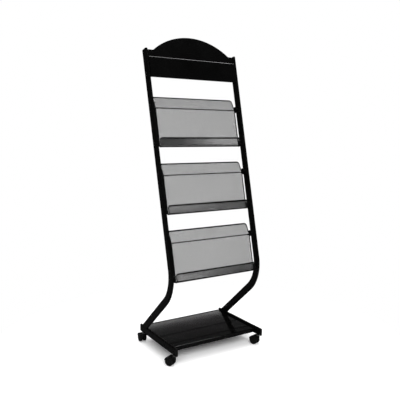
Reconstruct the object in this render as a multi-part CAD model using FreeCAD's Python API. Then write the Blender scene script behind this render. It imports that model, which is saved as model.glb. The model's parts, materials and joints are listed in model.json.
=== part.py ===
import FreeCAD, Part
import math
import os

from FreeCAD import Placement, Rotation, Vector

# Rolling display rack for periodicals. Millimetres and degrees; +Z is up, -Y is the front, X is across.
# Lengths "up the post" are measured along the leaning part of the posts, from the point where its
# centre line meets that of the sloping foot part.

# Tube of the posts and rails: a flat oval
TUBE_DEPTH = 38.0
TUBE_WIDTH = 13.0
TUBE_WALL = 1.2
POST_SPACING = 470.0            # between the centre lines of the two sides

# Posts
POST_LEAN = 13.1                # lean of the upper part, from upright
FOOT_SLOPE = 49.4               # slope of the foot part, from upright
KNEE_RADIUS = 165.0             # on the centre line
KNEE_RISE = 252.7               # from the top of the rail to the meeting point of the centre lines
FOOT_INSET = 46.2               # from the rear end of the rail to the middle of the foot

# Rails
RAIL_LENGTH = 366.0

# Plastic plugs in the open tube ends
CAP_HEIGHT = 3.0
CAP_ROUND = 2.0
PLUG_DEPTH = 7.5

# Bottom tray
TRAY_SHEET = 1.5
TRAY_DROP = 10.0                # from the top of the rails down to the tray
TRAY_FLANGE = 19.0
TRAY_BEND = 3.0                 # outer radius of the folds
TRAY_FRONT_SETBACK = 42.0       # from the front end of the rails
TRAY_REAR_SETBACK = 6.0         # from the rear end of the rails
TRAY_LIP = 2.5
TRAY_BEADS = 2                  # pressed stiffening grooves across the tray
TRAY_BEAD_INSET = 41.0          # middle of the first one, from the front of the tray
TRAY_BEAD_SPACING = 101.0
TRAY_BEAD_WIDTH = 12.0
TRAY_BEAD_DEPTH = 1.0
TRAY_BOLT_DROP = 10.5           # from the top of the tray down to its bolts
TRAY_BOLT_INSET = 9.0           # front bolt, from the front of the tray
TRAY_REAR_BOLT_INSET = 32.0     # rear bolt, from the rear of the tray

# Mesh pockets
POCKET_COUNT = 3
LOWEST_POCKET_DROP = 61.0       # its bottom below the upper end of the knee bend
POCKET_GAP = 73.1               # between a pocket and the next one
HEADER_GAP = 77.8               # between the highest pocket and the header
BACK_HEIGHT = 173.6             # from the bottom of a pocket up to its crossbar
FLAP_HEIGHT = 55.5              # from the crossbar up to the top edge
FLAP_LEAN = 18.0                # extra lean of the part above the crossbar
LIP_HEIGHT = 37.4
POCKET_DEPTH = 19.5             # between the back wires and the lip wire
POCKET_SETBACK = 9.0            # back wires behind the centre line of the posts
SIDE_GAP = 12.9                 # from the inner face of a post to the end wires
FRAME_WIRE = 4.0
LIP_WIRE = 4.5
CROSSBAR_WIRE = 5.0
BOTTOM_WIRE = 6.0
BOTTOM_ROD_INSET = 5.0          # in front of the back wires
WIRE_CORNER = 12.0              # centre-line radius of the upper corners
WIRE_HOOK = 8.0                 # centre-line radius of the bends at the bottom
FLAP_BEND = 25.0
MESH_SHEET = 0.6
MESH_COLUMNS = 10               # plain openings that stand for the fine diamonds of the mesh
MESH_ROWS = 4                   # of them in the back; the flap and the lip have one row each
MESH_BAR = 8.0                  # between the openings and round them

# Clips that carry the pockets
CLIP_SHEET = 1.5
CLIP_HEIGHT = 28.0
CLIP_DEPTH = 28.0
UPPER_CLIP_DROP = 9.0           # lower edge of the upper clip below the crossbar
UPPER_BOLT_RISE = 19.0          # bolt above the lower edge of the upper clip
LOWER_BOLT_RISE = 14.0          # bolt above the lower edge of the lower clip

# Header
HEADER_SHEET = 1.2
PANEL_HEIGHT = 92.2
PANEL_TOP_ROUND = 4.5           # outer radius of the upper fold
PANEL_BOTTOM_ROUND = 2.5
BOARD_SETBACK = 6.0             # front of the board behind the front of the panel
SHOULDER_RISE = 31.0            # shoulders of the board above the panel
SHOULDER_WIDTH = 27.5
ARCH_RISE = 72.0                # middle of the arch above the shoulders
POST_TOP_RISE = 2.0             # end of the post tube above the shoulders
BOARD_FLANGE = 21.0
BOARD_BEND = 2.5
HEADER_BOLT_INSET = 20.0        # bolts from the lower and upper edge of the panel

# Bolts and nuts
BOLT_DIAMETER = 5.0
BOLT_HEAD = 9.0
BOLT_HEAD_HEIGHT = 2.6
BOLT_HEAD_ROUND = 1.6
BOLT_END = 1.0                  # beyond the nut
NUT_FLATS = 8.0
NUT_HEIGHT = 4.0

# Casters
CASTER_HEIGHT = 51.3            # from the floor to the underside of the rails
WHEEL_DIAMETER = 40.0
WHEEL_WIDTH = 12.5
WHEEL_CHAMFER = 1.6
RIM_WIDTH = 4.0
DISH_DEPTH = 1.5
HUB_DIAMETER = 14.0
CASTER_WEB = 8.0
WEB_DISC = 26.0                 # diameter of the web around the axle
RIB_RISE = 7.0                  # lower edge of the web below the stem, above the axle
TRAIL = 20.0                    # from the stem to the axle
AXLE_DIAMETER = 5.0
AXLE_COVER = 3.0                # wheel outside the end of the axle
HOOD_WALL = 2.0
HOOD_FRONT_ANGLE = 150.0        # ends of the hood, from the rear horizontal
HOOD_REAR_ANGLE = 10.0
BOSS_DIAMETER = 16.0
STEM_DIAMETER = 8.0
STEM_IN_RAIL = 26.0
STEM_COLLAR = 15.0
COLLAR_HEIGHT = 5.4
BORE_FLOOR = 14.0               # floor of the stem bore above the axle
STEM_INSET = 22.6               # stems from the ends of the rails
SOCKET_LENGTH = 18.0
REST_TURNS = {"front_left": 29.0, "front_right": 15.6, "rear_left": -4.2, "rear_right": -29.0}

# Clearances
SEAT_GAP = 0.05                 # between pieces that are clamped or welded face to face
SHAFT_GAP = 0.05                # radial, in holes and bearings
PRESS_GAP = 0.02                # radial, wheel on axle
WIRE_GAP = 0.1                  # between welded wires, and wire and mesh
FIT_GAP = 0.3                   # sheets between the posts or rails
PLUG_GAP = 0.1                  # plugs and sockets inside the tubes
RUN_GAP = 0.5                   # wheel beside the web, collar above the boss
HOOD_GAP = 1.2                  # hood over the tread

# Worked out from the sizes above
SIDES = (-1, 1)
HALF_SPACING = POST_SPACING / 2
INNER_FACE = HALF_SPACING - TUBE_WIDTH / 2
OUTER_FACE = HALF_SPACING + TUBE_WIDTH / 2
RAIL_TOP = CASTER_HEIGHT + TUBE_DEPTH
KNEE_Z = RAIL_TOP + KNEE_RISE
FOOT_Y = RAIL_LENGTH - FOOT_INSET
KNEE_Y = FOOT_Y - KNEE_RISE * math.tan(math.radians(FOOT_SLOPE))
KNEE_TANGENT = KNEE_RADIUS * math.tan(math.radians(POST_LEAN + FOOT_SLOPE) / 2)
POCKET_HEIGHT = BACK_HEIGHT + FLAP_HEIGHT
POCKET_PITCH = POCKET_HEIGHT + POCKET_GAP
LOWEST_POCKET = KNEE_TANGENT - LOWEST_POCKET_DROP
HIGHEST_POCKET = LOWEST_POCKET + (POCKET_COUNT - 1) * POCKET_PITCH
PANEL_BOTTOM = HIGHEST_POCKET + POCKET_HEIGHT + HEADER_GAP
PANEL_TOP = PANEL_BOTTOM + PANEL_HEIGHT
SHOULDER_TOP = PANEL_TOP + SHOULDER_RISE
POST_TOP = SHOULDER_TOP + POST_TOP_RISE
BACK_N = -POCKET_SETBACK
LIP_N = BACK_N + POCKET_DEPTH
HOOK_N = (BACK_N + LIP_N) / 2
MESH_BACK_N = BACK_N + FRAME_WIRE / 2 + WIRE_GAP
MESH_LIP_N = LIP_N - LIP_WIRE / 2 - WIRE_GAP
CROSSBAR_N = MESH_BACK_N + MESH_SHEET + WIRE_GAP + CROSSBAR_WIRE / 2
HALF_POCKET = INNER_FACE - SIDE_GAP
HALF_SHEET = INNER_FACE - FIT_GAP
PANEL_FRONT = TUBE_DEPTH / 2
BOARD_FRONT = PANEL_FRONT - BOARD_SETBACK
TRAY_TOP = RAIL_TOP - TRAY_DROP
TRAY_REAR = RAIL_LENGTH - TRAY_REAR_SETBACK
TRAY_FLAT_HALF = HALF_SHEET - TRAY_SHEET - TRAY_BEND
WHEEL_RADIUS = WHEEL_DIAMETER / 2
WHEEL_INNER = CASTER_WEB / 2 + RUN_GAP
WHEEL_OUTER = WHEEL_INNER + WHEEL_WIDTH

LEANING = Placement(Vector(0, KNEE_Y, KNEE_Z), Rotation(Vector(1, 0, 0), -POST_LEAN))
X_AXIS = Vector(1, 0, 0)
Y_AXIS = Vector(0, 1, 0)
Z_AXIS = Vector(0, 0, 1)


def at_post(across, forward, up):
    """A point beside the leaning posts, before the lean: forward of their centre line, up along it."""
    return Vector(across, -forward, up)


def is_straight(edge):
    return isinstance(edge.Curve, (Part.Line, Part.LineSegment))


def leaned(shape):
    """Put a shape made upright beside the posts into its leaning place."""
    result = shape.copy()
    result.Placement = LEANING.multiply(result.Placement)
    return result


def post_forward(up):
    """How far the centre line of the post lies forward of the straight one at a distance up the post."""
    below = KNEE_TANGENT - up
    if below <= 0:
        return 0.0
    return math.sqrt(KNEE_RADIUS**2 - below**2) - KNEE_RADIUS


def mirrored(shape):
    return shape.mirror(Vector(0, 0, 0), X_AXIS)


def block(low, high):
    return Part.makeBox(high.x - low.x, high.y - low.y, high.z - low.z, low)


def face_of(points):
    """A flat face with straight edges."""
    return Part.Face(Part.makePolygon(points + points[:1]))


def oval_wire(width, depth):
    """Flat oval about the origin in the XY plane, with its flat sides along Y."""
    radius = width / 2
    flat = depth / 2 - radius
    left_low, left_high = Vector(-radius, -flat, 0), Vector(-radius, flat, 0)
    right_low, right_high = Vector(radius, -flat, 0), Vector(radius, flat, 0)
    return Part.Wire([
        Part.LineSegment(left_low, left_high).toShape(),
        Part.Arc(left_high, Vector(0, depth / 2, 0), right_high).toShape(),
        Part.LineSegment(right_high, right_low).toShape(),
        Part.Arc(right_low, Vector(0, -depth / 2, 0), left_low).toShape(),
    ])


def facing(shape, place, direction):
    """Turn a shape made along +Z so that it points along a direction, from a place."""
    result = shape.copy()
    result.Placement = Placement(place, Rotation(Z_AXIS, direction)).multiply(result.Placement)
    return result


def bent_path(points, radii):
    """Straight runs joined by tangent arcs, with one radius for each inner point."""
    edges = []
    start = points[0]
    for before, corner, after, radius in zip(points, points[1:], points[2:], radii):
        to_before = (before - corner).normalize()
        to_after = (after - corner).normalize()
        half_angle = to_before.getAngle(to_after) / 2
        inward = (to_before + to_after).normalize()
        first = corner + to_before * (radius / math.tan(half_angle))
        last = corner + to_after * (radius / math.tan(half_angle))
        middle = corner + inward * (radius / math.sin(half_angle) - radius)
        edges.append(Part.LineSegment(start, first).toShape())
        edges.append(Part.Arc(first, middle, last).toShape())
        start = last
    edges.append(Part.LineSegment(start, points[-1]).toShape())
    return Part.Wire(edges)


def swept(section, path):
    return path.makePipeShell([section], True, False)


def bent_wire(points, radii, diameter):
    """Round wire along a bent path."""
    circle = Part.makeCircle(diameter / 2, points[0], points[1] - points[0])
    return swept(Part.Wire([circle]), bent_path(points, radii))


def strip(points, radii, thickness, half_width):
    """Bent sheet: a line in the YZ plane, thickened to its left and drawn across X."""
    path = bent_path(points, radii)
    start, direction = points[0], (points[1] - points[0]).normalize()
    left = X_AXIS.cross(direction)
    corners = [start, start + left * thickness]
    across = X_AXIS * (2 * half_width)
    section = Part.makePolygon([
        corners[0] - across / 2, corners[1] - across / 2,
        corners[1] + across / 2, corners[0] + across / 2, corners[0] - across / 2,
    ])
    return swept(section, path)


# ---------------------------------------------------------------- fasteners

def bolt_span(sheet):
    """Length of a bolt that clamps one sheet to a tube."""
    return TUBE_WIDTH + FIT_GAP + sheet + NUT_HEIGHT + 2 * SEAT_GAP + BOLT_END


def bolt(sheet):
    """Pan-head bolt: head on the outer face at the origin, shank along -X."""
    head = Part.makeCylinder(BOLT_HEAD / 2, BOLT_HEAD_HEIGHT, Vector(SEAT_GAP, 0, 0), X_AXIS)
    crown = [edge for edge in head.Edges if edge.BoundBox.XMin > BOLT_HEAD_HEIGHT / 2]
    head = head.makeFillet(BOLT_HEAD_ROUND, crown)
    span = bolt_span(sheet)
    shank = Part.makeCylinder(BOLT_DIAMETER / 2, span + SEAT_GAP, Vector(-span, 0, 0), X_AXIS)
    return head.fuse(shank).removeSplitter()


def nut():
    """Hexagon nut that ends at the origin, along -X, with two flats facing front and back."""
    corner = NUT_FLATS / math.sqrt(3)
    angles = [math.radians(60 * step) for step in range(6)]
    outline = face_of([Vector(-NUT_HEIGHT, corner * math.sin(a), corner * math.cos(a)) for a in angles])
    body = outline.extrude(X_AXIS * NUT_HEIGHT)
    bore = Part.makeCylinder(BOLT_DIAMETER / 2 + SHAFT_GAP, NUT_HEIGHT, Vector(-NUT_HEIGHT, 0, 0), X_AXIS)
    return body.cut(bore)


def bolt_hole(forward, up):
    """Cutter across X for a bolt beside the posts, before the lean."""
    reach = 2 * OUTER_FACE
    start = at_post(-OUTER_FACE, forward, up)
    return Part.makeCylinder(BOLT_DIAMETER / 2 + SHAFT_GAP, reach, start, X_AXIS)


def bolts_and_nuts(places, sheet, inner_gap):
    """Bolts and nuts for (across side, y, z) places; the sheet lies inner_gap off the tube."""
    bolts, nuts = [], []
    nut_x = INNER_FACE - inner_gap - sheet - SEAT_GAP
    for side, y, z in places:
        right_bolt = bolt(sheet)
        right_bolt.translate(Vector(OUTER_FACE, y, z))
        right_nut = nut()
        right_nut.translate(Vector(nut_x, y, z))
        bolts.append(right_bolt if side > 0 else mirrored(right_bolt))
        nuts.append(right_nut if side > 0 else mirrored(right_nut))
    return bolts, nuts


# ---------------------------------------------------------------- posts, rails and their plugs

def end_cap(place, direction):
    """Domed plug in the end of a tube: the dome stands on the end, the plug goes back inside."""
    dome = Part.Face(oval_wire(TUBE_WIDTH, TUBE_DEPTH)).extrude(Z_AXIS * CAP_HEIGHT)
    crown = [edge for edge in dome.Edges if edge.BoundBox.ZMin > CAP_HEIGHT / 2]
    dome = dome.makeFillet(CAP_ROUND, crown)
    shrink = 2 * (TUBE_WALL + PLUG_GAP)
    plug = Part.Face(oval_wire(TUBE_WIDTH - shrink, TUBE_DEPTH - shrink))
    plug = plug.extrude(Z_AXIS * -(PLUG_DEPTH + SEAT_GAP))
    dome.translate(Z_AXIS * SEAT_GAP)
    plug.translate(Z_AXIS * SEAT_GAP)
    return facing(dome.fuse(plug), place, direction)


def rail_bar(width, depth, start, length):
    """Solid flat-oval bar along the rail."""
    bar = Part.Face(oval_wire(width, depth)).extrude(Z_AXIS * length)
    return facing(bar, Vector(0, start, CASTER_HEIGHT + TUBE_DEPTH / 2), Y_AXIS)


def stem_places():
    return {"front": STEM_INSET, "rear": RAIL_LENGTH - STEM_INSET}


def tray_bolt_places():
    front = TRAY_FRONT_SETBACK + TRAY_BOLT_INSET
    rear = TRAY_REAR - TRAY_REAR_BOLT_INSET
    return [(side, y, TRAY_TOP - TRAY_BOLT_DROP) for side in SIDES for y in (front, rear)]


def rail():
    """One floor rail at X = 0, with holes for the caster stems and tray bolts."""
    inside = 2 * TUBE_WALL
    tube = rail_bar(TUBE_WIDTH, TUBE_DEPTH, 0, RAIL_LENGTH)
    tube = tube.cut(rail_bar(TUBE_WIDTH - inside, TUBE_DEPTH - inside, 0, RAIL_LENGTH))
    for y in stem_places().values():
        hole = Part.makeCylinder(STEM_DIAMETER / 2 + SHAFT_GAP, TUBE_DEPTH / 2, Vector(0, y, CASTER_HEIGHT))
        tube = tube.cut(hole)
    for _, y, z in tray_bolt_places():
        start = Vector(-TUBE_WIDTH, y, z)
        tube = tube.cut(Part.makeCylinder(BOLT_DIAMETER / 2 + SHAFT_GAP, 2 * TUBE_WIDTH, start, X_AXIS))
    return tube


def post():
    """One post at X = 0: leaning part, knee and sloping foot, coped to sit on the rail."""
    foot_direction = Vector(0, -math.sin(math.radians(FOOT_SLOPE)), math.cos(math.radians(FOOT_SLOPE)))
    lean_direction = Vector(0, math.sin(math.radians(POST_LEAN)), math.cos(math.radians(POST_LEAN)))
    knee = Vector(0, KNEE_Y, KNEE_Z)
    foot_length = (KNEE_RISE + TUBE_DEPTH / 2) / math.cos(math.radians(FOOT_SLOPE))
    foot = knee - foot_direction * foot_length
    path = bent_path([foot, knee, knee + lean_direction * POST_TOP], [KNEE_RADIUS])
    inside = 2 * TUBE_WALL
    outer = swept(facing(oval_wire(TUBE_WIDTH, TUBE_DEPTH), foot, foot_direction), path)
    bore = oval_wire(TUBE_WIDTH - inside, TUBE_DEPTH - inside)
    tube = outer.cut(swept(facing(bore, foot, foot_direction), path))
    cope = 2 * SEAT_GAP
    return tube.cut(rail_bar(TUBE_WIDTH + cope, TUBE_DEPTH + cope, 0, RAIL_LENGTH))


def drilled_post(bolt_places):
    tube = post()
    for forward, up in bolt_places:
        tube = tube.cut(leaned(bolt_hole(forward, up)))
    return tube


def both_sides(shape):
    """The same shape at the left and the right side, made at X = 0."""
    left, right = shape.copy(), shape.copy()
    left.translate(X_AXIS * -HALF_SPACING)
    right.translate(X_AXIS * HALF_SPACING)
    return [left, right]


def rail_caps():
    z = CASTER_HEIGHT + TUBE_DEPTH / 2
    front = end_cap(Vector(0, 0, z), -Y_AXIS)
    rear = end_cap(Vector(0, RAIL_LENGTH, z), Y_AXIS)
    return both_sides(front) + both_sides(rear)


def post_caps():
    return both_sides(leaned(end_cap(Vector(0, 0, POST_TOP), Z_AXIS)))


def caster_sockets():
    """Inserts inside the rails that hold the caster stems."""
    shrink = 2 * (TUBE_WALL + PLUG_GAP)
    sockets = []
    for y in stem_places().values():
        body = rail_bar(TUBE_WIDTH - shrink, TUBE_DEPTH - shrink, y - SOCKET_LENGTH / 2, SOCKET_LENGTH)
        bore_low = Vector(0, y, CASTER_HEIGHT)
        bore = Part.makeCylinder(STEM_DIAMETER / 2 + SHAFT_GAP, STEM_IN_RAIL + FIT_GAP, bore_low)
        sockets += both_sides(body.cut(bore))
    return sockets


# ---------------------------------------------------------------- tray

def tray():
    """Folded sheet: top, front and side flanges, upturned rear lip."""
    front, rear = TRAY_FRONT_SETBACK, TRAY_REAR
    outer = block(Vector(-HALF_SHEET, front, TRAY_TOP - TRAY_FLANGE), Vector(HALF_SHEET, rear, TRAY_TOP))
    inner = block(
        Vector(-HALF_SHEET + TRAY_SHEET, front + TRAY_SHEET, TRAY_TOP - TRAY_FLANGE),
        Vector(HALF_SHEET - TRAY_SHEET, rear, TRAY_TOP - TRAY_SHEET),
    )
    pan = rounded_pan(outer, TRAY_BEND, rear).cut(rounded_pan(inner, TRAY_BEND - TRAY_SHEET, rear))
    lip_low = Vector(0, rear - TRAY_BEND, TRAY_TOP)
    corner = Vector(0, rear + TRAY_BEND, TRAY_TOP)
    lip_high = corner + Z_AXIS * TRAY_LIP
    lip = strip([lip_low, corner, lip_high], [TRAY_BEND - TRAY_SHEET], -TRAY_SHEET, TRAY_FLAT_HALF)
    shell = pan.fuse(lip)
    for index in range(TRAY_BEADS):
        y = front + TRAY_BEAD_INSET + index * TRAY_BEAD_SPACING
        shell = shell.fuse(tray_bead(y, TRAY_TOP - TRAY_SHEET)).cut(tray_bead(y, TRAY_TOP))
    shell = shell.removeSplitter()
    for _, y, z in tray_bolt_places()[:2]:
        start = Vector(-OUTER_FACE, y, z)
        hole = Part.makeCylinder(BOLT_DIAMETER / 2 + SHAFT_GAP, 2 * OUTER_FACE, start, X_AXIS)
        shell = shell.cut(hole)
    return shell


def tray_bead(y, z):
    """Shallow wedge below a height, as long as the flat part of the tray is wide."""
    half = TRAY_BEAD_WIDTH / 2
    x = -TRAY_FLAT_HALF
    wedge = face_of([Vector(x, y - half, z), Vector(x, y, z - TRAY_BEAD_DEPTH), Vector(x, y + half, z)])
    return wedge.extrude(X_AXIS * (2 * TRAY_FLAT_HALF))


def rounded_pan(body, radius, rear):
    """Round the folded edges of a pan: the upper ones and the upright front ones, not at the rear."""
    def is_fold(edge):
        box = edge.BoundBox
        upper = box.ZMin > body.BoundBox.ZMax - SEAT_GAP
        upright_front = box.ZLength > SEAT_GAP and box.YMax < rear / 2
        at_rear = box.YMin > rear - SEAT_GAP
        return (upper or upright_front) and not at_rear
    return body.makeFillet(radius, [edge for edge in body.Edges if is_fold(edge)])


# ---------------------------------------------------------------- header

def header_bolt_places():
    heights = (PANEL_BOTTOM + HEADER_BOLT_INSET, PANEL_TOP - HEADER_BOLT_INSET)
    return [(0.0, up) for up in heights]


def header_panel():
    """Folded front panel: both folds run back to the board behind it."""
    back = BOARD_FRONT + SEAT_GAP
    points = [
        at_post(0, back, PANEL_BOTTOM), at_post(0, PANEL_FRONT, PANEL_BOTTOM),
        at_post(0, PANEL_FRONT, PANEL_TOP), at_post(0, back, PANEL_TOP),
    ]
    return leaned(strip(points, [PANEL_BOTTOM_ROUND, PANEL_TOP_ROUND], -HEADER_SHEET, HALF_SHEET))


def header_board():
    """Sheet with two shoulders and an arched top, and a flange at each side for the bolts."""
    arch_half = HALF_SHEET - SHOULDER_WIDTH
    low, high = PANEL_BOTTOM, SHOULDER_TOP
    face = BOARD_FRONT
    arch = Part.Arc(at_post(arch_half, face, high), at_post(0, face, high + ARCH_RISE),
                    at_post(-arch_half, face, high)).toShape()
    corners = [
        at_post(-arch_half, face, high), at_post(-HALF_SHEET, face, high), at_post(-HALF_SHEET, face, low),
        at_post(HALF_SHEET, face, low), at_post(HALF_SHEET, face, high), at_post(arch_half, face, high),
    ]
    outline = Part.Wire(Part.makePolygon(corners).Edges + [arch])
    sheet = Part.Face(outline).extrude(Y_AXIS * HEADER_SHEET)
    flange_inner = HALF_SHEET - HEADER_SHEET
    flange = block(at_post(flange_inner, face, low), at_post(HALF_SHEET, face - BOARD_FLANGE, high))
    body = sheet.fuse([flange, mirrored(flange)]).removeSplitter()
    folds = [edge for edge in body.Edges if is_board_fold(edge.BoundBox)]
    body = body.makeFillet(BOARD_BEND, folds)
    for forward, up in header_bolt_places():
        body = body.cut(bolt_hole(forward, up))
    return leaned(body)


def is_board_fold(box):
    """The outer upright edge where a flange of the board meets its face."""
    upright = box.ZLength > PANEL_HEIGHT and box.XLength < SEAT_GAP and box.YLength < SEAT_GAP
    at_side = max(abs(box.XMin), abs(box.XMax)) > HALF_SHEET - SEAT_GAP
    at_face = abs(box.YMin + BOARD_FRONT) < SEAT_GAP
    return upright and at_side and at_face


# ---------------------------------------------------------------- mesh pockets

def pocket_bottom(index):
    """Up the post to the bottom of a pocket, counted from the lowest."""
    return LOWEST_POCKET + index * POCKET_PITCH


def pocket_name(index):
    """Bottom, middle (numbered from the second middle one on) or top."""
    if index == 0:
        return "bottom"
    if index == POCKET_COUNT - 1:
        return "top"
    return "middle" if index == 1 else f"middle_{index}"


def flap_top_n():
    return BACK_N - FLAP_HEIGHT * math.tan(math.radians(FLAP_LEAN))


def frame_wire(bottom):
    """Both hooks, both sides and the top edge in one bent wire."""
    bend, top = bottom + BACK_HEIGHT, bottom + POCKET_HEIGHT
    start_n = HOOK_N - WIRE_GAP / 2
    side = [(start_n, bottom), (BACK_N, bottom), (BACK_N, bend), (flap_top_n(), top)]
    points = [at_post(-HALF_POCKET, n, up) for n, up in side]
    points += [at_post(HALF_POCKET, n, up) for n, up in reversed(side)]
    radii = [WIRE_HOOK, FLAP_BEND, WIRE_CORNER]
    return bent_wire(points, radii + radii[::-1], FRAME_WIRE)


def lip_wire(bottom):
    """The front half of both hooks and the edge of the lip."""
    start_n = HOOK_N + WIRE_GAP / 2
    side = [(start_n, bottom), (LIP_N, bottom), (LIP_N, bottom + LIP_HEIGHT)]
    points = [at_post(-HALF_POCKET, n, up) for n, up in side]
    points += [at_post(HALF_POCKET, n, up) for n, up in reversed(side)]
    radii = [WIRE_HOOK, WIRE_CORNER]
    return bent_wire(points, radii + radii[::-1], LIP_WIRE)


def straight_rod(diameter, half_length, forward, up):
    """Straight wire across a pocket."""
    return Part.makeCylinder(diameter / 2, 2 * half_length, at_post(-half_length, forward, up), X_AXIS)


def crossbar(up):
    """In front of the mesh, as wide as the frame wire outside."""
    return straight_rod(CROSSBAR_WIRE, HALF_POCKET + FRAME_WIRE / 2, CROSSBAR_N, up)


def bottom_rod(bottom):
    """Under the mesh, between the two hooks of the frame wire."""
    half = HALF_POCKET - FRAME_WIRE / 2 - WIRE_GAP
    return straight_rod(BOTTOM_WIRE, half, BACK_N + BOTTOM_ROD_INSET, bottom)


def mesh(bottom):
    """Sheet of mesh nested inside the wires: flap, back, bottom and lip, with round corners."""
    floor = bottom + BOTTOM_WIRE / 2 + WIRE_GAP
    off_wire = MESH_BACK_N - BACK_N
    bend = bottom + BACK_HEIGHT + off_wire * math.tan(math.radians(FLAP_LEAN) / 2)
    top = bottom + POCKET_HEIGHT
    top_n = MESH_BACK_N - (top - bend) * math.tan(math.radians(FLAP_LEAN))
    line = [
        (top_n, top), (MESH_BACK_N, bend), (MESH_BACK_N, floor),
        (MESH_LIP_N, floor), (MESH_LIP_N, bottom + LIP_HEIGHT),
    ]
    points = [at_post(0, n, up) for n, up in line]
    hook = WIRE_HOOK - BOTTOM_WIRE / 2
    sheet = strip(points, [FLAP_BEND + off_wire, hook, hook], -MESH_SHEET, HALF_POCKET)
    corners = [edge for edge in sheet.Edges if is_straight(edge) and edge.Length < 2 * MESH_SHEET]
    return sheet.makeFillet(WIRE_CORNER, corners).cut(mesh_openings(bottom))


def openings_between(low, high, count):
    """Both edges of each opening in a row, with a bar before, between and after them."""
    size = (high - low - (count + 1) * MESH_BAR) / count
    starts = [low + MESH_BAR + index * (size + MESH_BAR) for index in range(count)]
    return [(start, start + size) for start in starts]


def mesh_openings(bottom):
    """Cutters for a plain grid of openings in the flap, the back and the lip of a mesh."""
    bends, crossbar_up, top = bottom + WIRE_HOOK, bottom + BACK_HEIGHT, bottom + POCKET_HEIGHT
    rows = [(flap_top_n(), HOOK_N, row) for row in openings_between(crossbar_up, top, 1)]
    rows += [(BACK_N, HOOK_N, row) for row in openings_between(bends, crossbar_up, MESH_ROWS)]
    rows += [(HOOK_N, LIP_N, row) for row in openings_between(bends, bottom + LIP_HEIGHT, 1)]
    cutters = []
    for rear, front, (low, high) in rows:
        for left, right in openings_between(-HALF_POCKET, HALF_POCKET, MESH_COLUMNS):
            cutters.append(block(at_post(left, front, low), at_post(right, rear, high)))
    return cutters


def clip(low, bolt_up):
    """Folded pan clip at the right post: web against the post, open to the front and the pocket."""
    outer_x, inner_x = INNER_FACE - SEAT_GAP, HALF_POCKET + LIP_WIRE / 2 + WIRE_GAP
    front, rear = HOOK_N + CLIP_DEPTH / 2, HOOK_N - CLIP_DEPTH / 2
    body = block(at_post(inner_x, front, low), at_post(outer_x, rear, low + CLIP_HEIGHT))
    hollow = block(
        at_post(inner_x, front, low + CLIP_SHEET),
        at_post(outer_x - CLIP_SHEET, rear + CLIP_SHEET, low + CLIP_HEIGHT - CLIP_SHEET),
    )
    return body.cut(hollow).cut(bolt_hole(post_forward(bolt_up), bolt_up))


def clip_heights(bottom):
    """Lower edge and bolt height of the lower and the upper clip of a pocket."""
    upper = bottom + BACK_HEIGHT - UPPER_CLIP_DROP
    return [(bottom, bottom + LOWER_BOLT_RISE), (upper, upper + UPPER_BOLT_RISE)]


def pocket_bolt_places(index):
    return [(post_forward(up), up) for _, up in clip_heights(pocket_bottom(index))]


def pocket(index):
    bottom = pocket_bottom(index)
    right_clips = [clip(low, up) for low, up in clip_heights(bottom)]
    places = [(side, -forward, up) for side in SIDES for forward, up in pocket_bolt_places(index)]
    bolts, nuts = bolts_and_nuts(places, CLIP_SHEET, SEAT_GAP)
    return {
        "frame_wire": [leaned(frame_wire(bottom))],
        "lip_wire": [leaned(lip_wire(bottom))],
        "crossbar": [leaned(crossbar(bottom + BACK_HEIGHT))],
        "bottom_rod": [leaned(bottom_rod(bottom))],
        "mesh": [leaned(mesh(bottom))],
        "clips": [leaned(piece) for piece in right_clips + [mirrored(piece) for piece in right_clips]],
        "bolts": [leaned(piece) for piece in bolts],
        "nuts": [leaned(piece) for piece in nuts],
    }


# ---------------------------------------------------------------- casters

def turned_profile(points, centre):
    """Solid of revolution about X from (x, radius) points."""
    outline = face_of([centre + Vector(x, 0, radius) for x, radius in points])
    return outline.revolve(centre, X_AXIS, 360)


def wheel():
    """Right wheel of a pair: chamfered tread, rim, dished face with a hub, blind bore for the axle."""
    centre = Vector(0, TRAIL, WHEEL_RADIUS)
    rim = WHEEL_RADIUS - RIM_WIDTH
    hub = HUB_DIAMETER / 2
    bore = AXLE_DIAMETER / 2 + PRESS_GAP
    bore_end = WHEEL_OUTER - AXLE_COVER + SEAT_GAP
    dish = WHEEL_OUTER - DISH_DEPTH
    return turned_profile([
        (WHEEL_INNER, bore), (WHEEL_INNER, WHEEL_RADIUS - WHEEL_CHAMFER),
        (WHEEL_INNER + WHEEL_CHAMFER, WHEEL_RADIUS), (WHEEL_OUTER - WHEEL_CHAMFER, WHEEL_RADIUS),
        (WHEEL_OUTER, WHEEL_RADIUS - WHEEL_CHAMFER), (WHEEL_OUTER, rim), (dish, rim - DISH_DEPTH),
        (dish, hub), (WHEEL_OUTER, hub - DISH_DEPTH), (WHEEL_OUTER, 0), (bore_end, 0), (bore_end, bore),
    ], centre)


def axle():
    half = WHEEL_OUTER - AXLE_COVER
    return Part.makeCylinder(AXLE_DIAMETER / 2, 2 * half, Vector(-half, TRAIL, WHEEL_RADIUS), X_AXIS)


def boss_top():
    return CASTER_HEIGHT - COLLAR_HEIGHT - RUN_GAP


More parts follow.
